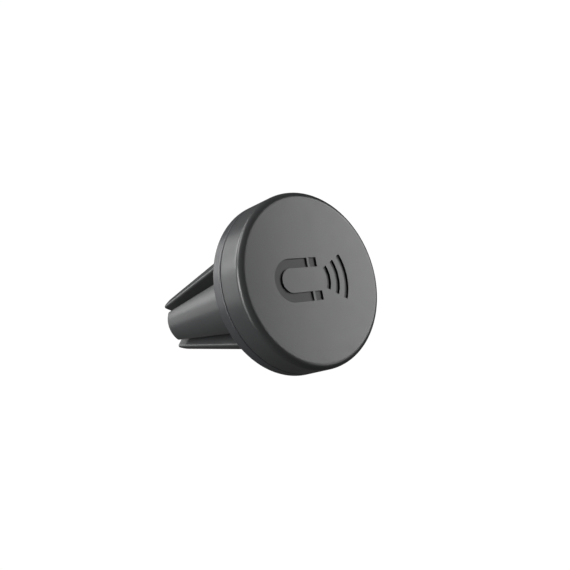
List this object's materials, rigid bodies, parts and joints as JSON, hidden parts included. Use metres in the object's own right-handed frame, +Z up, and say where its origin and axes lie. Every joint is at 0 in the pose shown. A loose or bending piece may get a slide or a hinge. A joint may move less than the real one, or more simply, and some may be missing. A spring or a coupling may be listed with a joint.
{
  "type": "magnetic car vent phone mount",
  "caption": "Round magnetic phone head that turns on a tapered clip, whose sprung prongs grip the louvre of a car's air vent.",
  "frame": {"origin": "on the swivel axis, in the middle of the length along which the prongs grip the louvre", "axes": "+Y points back into the vent along the swivel axis, -Y is the way the magnetic face looks, +Z is up, +X is to the right as seen from the front"},
  "size_m": [0.04, 0.0501, 0.04],
  "materials": {
    "soft_touch": "matte soft-touch coating",
    "hard_plastic": "moulded satin plastic",
    "inner_plastic": "plain moulded plastic",
    "grip_rubber": "soft elastomer, matte",
    "nickel": "bright nickel plate",
    "steel": "plain zinc-plated steel",
    "washer_polymer": "natural acetal"
  },
  "bodies": {
    "clip": {"clip_base": "hard_plastic", "friction_washer": "washer_polymer", "wave_washer": "steel", "cap_washer": "steel", "pivot_screw": "steel"},
    "head": {"front_cover": "soft_touch", "rear_cover": "hard_plastic", "magnet_tray": "inner_plastic", "yoke_plate": "steel", "magnet_1": "nickel", "magnet_2": "nickel", "magnet_3": "nickel", "magnet_4": "nickel", "magnet_5": "nickel", "magnet_6": "nickel", "case_screw_1": "steel", "case_screw_2": "steel", "case_screw_3": "steel"},
    "prong_top": {"prong_core_top": "inner_plastic", "grip_sleeve_top": "grip_rubber"},
    "prong_right": {"prong_core_right": "inner_plastic", "grip_sleeve_right": "grip_rubber"},
    "prong_bottom": {"prong_core_bottom": "inner_plastic", "grip_sleeve_bottom": "grip_rubber"},
    "prong_left": {"prong_core_left": "inner_plastic", "grip_sleeve_left": "grip_rubber"}
  },
  "joints": [
    {"name": "head_swivel", "type": "hinge", "parent": "clip", "child": "head", "pos_m": [0, -0.026, 0], "axis": [0, 1, 0], "continuous": true},
    {"name": "prong_top_flex", "type": "hinge", "parent": "clip", "child": "prong_top", "pos_m": [-0.00174, -0.0198, 0.00893], "axis": [0.9816, 0, 0.1908], "range_deg": [0, 4], "stiffness_Nm_per_rad": 1.2},
    {"name": "prong_right_flex", "type": "hinge", "parent": "clip", "child": "prong_right", "pos_m": [0.00835, -0.0198, 0.00213], "axis": [0.1908, 0, -0.9816], "range_deg": [-1, 4], "stiffness_Nm_per_rad": 1.2},
    {"name": "prong_bottom_flex", "type": "hinge", "parent": "clip", "child": "prong_bottom", "pos_m": [0.00155, -0.0198, -0.00795], "axis": [-0.9816, 0, -0.1908], "range_deg": [0, 4], "stiffness_Nm_per_rad": 1.2},
    {"name": "prong_left_flex", "type": "hinge", "parent": "clip", "child": "prong_left", "pos_m": [-0.00854, -0.0198, -0.00115], "axis": [-0.1908, 0, 0.9816], "range_deg": [-1, 4], "stiffness_Nm_per_rad": 1.2}
  ]
}
